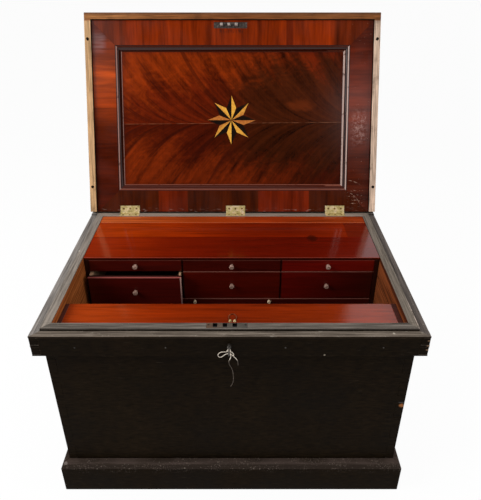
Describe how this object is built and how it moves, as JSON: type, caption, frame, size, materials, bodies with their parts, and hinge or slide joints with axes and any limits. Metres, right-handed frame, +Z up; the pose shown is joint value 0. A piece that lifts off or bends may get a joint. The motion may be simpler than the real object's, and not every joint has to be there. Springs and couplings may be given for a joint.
{
  "type": "tool chest",
  "caption": "Joiner's tool chest with a hinged framed lid, a nest of drawers, a storage well, a covered saw till, a key-worked rim lock and drop handles.",
  "frame": {"origin": "on the ground under the middle of the carcase", "axes": "+Z up, the front with the keyhole faces -Y, +X is to the right seen from the front"},
  "size_m": [0.94, 0.9358, 1.1482],
  "materials": {
    "black_paint": "worn dark paint on softwood",
    "bare_wood": "bare softwood",
    "polished_mahogany": "polished",
    "dark_mahogany": "polished, dark",
    "flame_mahogany": "polished figured veneer",
    "brass": "dull",
    "iron": "dark",
    "bone": "turned bone, satin",
    "cotton_twine": "plain cotton"
  },
  "bodies": {
    "carcase": {"floor": "bare_wood", "front_wall": "black_paint", "back_wall": "black_paint", "left_wall": "black_paint", "right_wall": "black_paint", "plinth_front": "black_paint", "plinth_back": "black_paint", "plinth_left": "black_paint", "plinth_right": "black_paint", "skirt_front": "black_paint", "skirt_back": "black_paint", "skirt_left": "black_paint", "skirt_right": "black_paint", "till_top": "polished_mahogany", "till_rear_strip": "polished_mahogany", "till_end_left": "dark_mahogany", "till_end_right": "dark_mahogany", "till_bottom": "dark_mahogany", "till_shelf_upper": "dark_mahogany", "till_shelf_lower": "dark_mahogany", "till_divider_left": "dark_mahogany", "till_divider_right": "dark_mahogany", "saw_till_back": "polished_mahogany", "hinge_left_carcase_leaf": "brass", "hinge_middle_carcase_leaf": "brass", "hinge_right_carcase_leaf": "brass", "lock_case": "iron", "key_twine": "cotton_twine", "handle_plate_left": "iron", "handle_plate_right": "iron"},
    "lid": {"lid_board": "black_paint", "lid_rim_front": "bare_wood", "lid_rim_left": "bare_wood", "lid_rim_right": "bare_wood", "lid_frame": "polished_mahogany", "lid_panel": "flame_mahogany", "hinge_left_lid_leaf": "brass", "hinge_middle_lid_leaf": "brass", "hinge_right_lid_leaf": "brass", "link_plate": "iron"},
    "upper_left_drawer": {"drawer_upper_left": "dark_mahogany", "knob_upper_left": "bone"},
    "upper_middle_drawer": {"drawer_upper_middle": "dark_mahogany", "knob_upper_middle": "bone"},
    "upper_right_drawer": {"drawer_upper_right": "dark_mahogany", "knob_upper_right": "bone"},
    "lower_left_drawer": {"drawer_lower_left": "dark_mahogany", "knob_lower_left": "bone"},
    "lower_middle_drawer": {"drawer_lower_middle": "dark_mahogany", "knob_lower_middle": "bone"},
    "lower_right_drawer": {"drawer_lower_right": "dark_mahogany", "knob_lower_right": "bone"},
    "long_tray_drawer": {"drawer_long_tray": "dark_mahogany", "knob_long_tray_left": "bone", "knob_long_tray_right": "bone"},
    "saw_till_lid": {"saw_till_cover": "polished_mahogany"},
    "key": {"key": "iron"},
    "bolt": {"lock_bolt": "iron"},
    "left_bail": {"handle_bail_left": "iron"},
    "right_bail": {"handle_bail_right": "iron"}
  },
  "joints": [
    {"name": "lid_hinge", "type": "hinge", "parent": "carcase", "child": "lid", "pos_m": [0, 0.3068, 0.56265], "axis": [-1, 0, 0], "range_deg": [-112.9, 0]},
    {"name": "upper_left_drawer_slide", "type": "slide", "parent": "carcase", "child": "upper_left_drawer", "axis": [0, -1, 0], "range_m": [0, 0.15]},
    {"name": "upper_middle_drawer_slide", "type": "slide", "parent": "carcase", "child": "upper_middle_drawer", "axis": [0, -1, 0], "range_m": [0, 0.15]},
    {"name": "upper_right_drawer_slide", "type": "slide", "parent": "carcase", "child": "upper_right_drawer", "axis": [0, -1, 0], "range_m": [0, 0.15]},
    {"name": "lower_left_drawer_slide", "type": "slide", "parent": "carcase", "child": "lower_left_drawer", "axis": [0, -1, 0], "range_m": [-0.033, 0.117]},
    {"name": "lower_middle_drawer_slide", "type": "slide", "parent": "carcase", "child": "lower_middle_drawer", "axis": [0, -1, 0], "range_m": [0, 0.15]},
    {"name": "lower_right_drawer_slide", "type": "slide", "parent": "carcase", "child": "lower_right_drawer", "axis": [0, -1, 0], "range_m": [0, 0.15]},
    {"name": "long_tray_slide", "type": "slide", "parent": "carcase", "child": "long_tray_drawer", "axis": [0, -1, 0], "range_m": [0, 0.15]},
    {"name": "saw_till_hinge", "type": "hinge", "parent": "carcase", "child": "saw_till_lid", "pos_m": [0, -0.1738, 0.5312], "axis": [-1, 0, 0], "range_deg": [0, 95]},
    {"name": "key_turn", "type": "hinge", "parent": "carcase", "child": "key", "pos_m": [-0.001, -0.335, 0.531], "axis": [0, 1, 0], "range_deg": [0, 170]},
    {"name": "bolt_slide", "type": "slide", "parent": "carcase", "child": "bolt", "axis": [1, 0, 0], "range_m": [0, 0.0075]},
    {"name": "left_bail_swing", "type": "hinge", "parent": "carcase", "child": "left_bail", "pos_m": [-0.4584, 0, 0.345], "axis": [0, 1, 0], "range_deg": [0, 100]},
    {"name": "right_bail_swing", "type": "hinge", "parent": "carcase", "child": "right_bail", "pos_m": [0.4584, 0, 0.345], "axis": [0, -1, 0], "range_deg": [0, 100]}
  ],
  "couplings": [
    {"joint": "key_turn", "follows": "bolt_slide", "rad_per_m": 395.6}
  ]
}
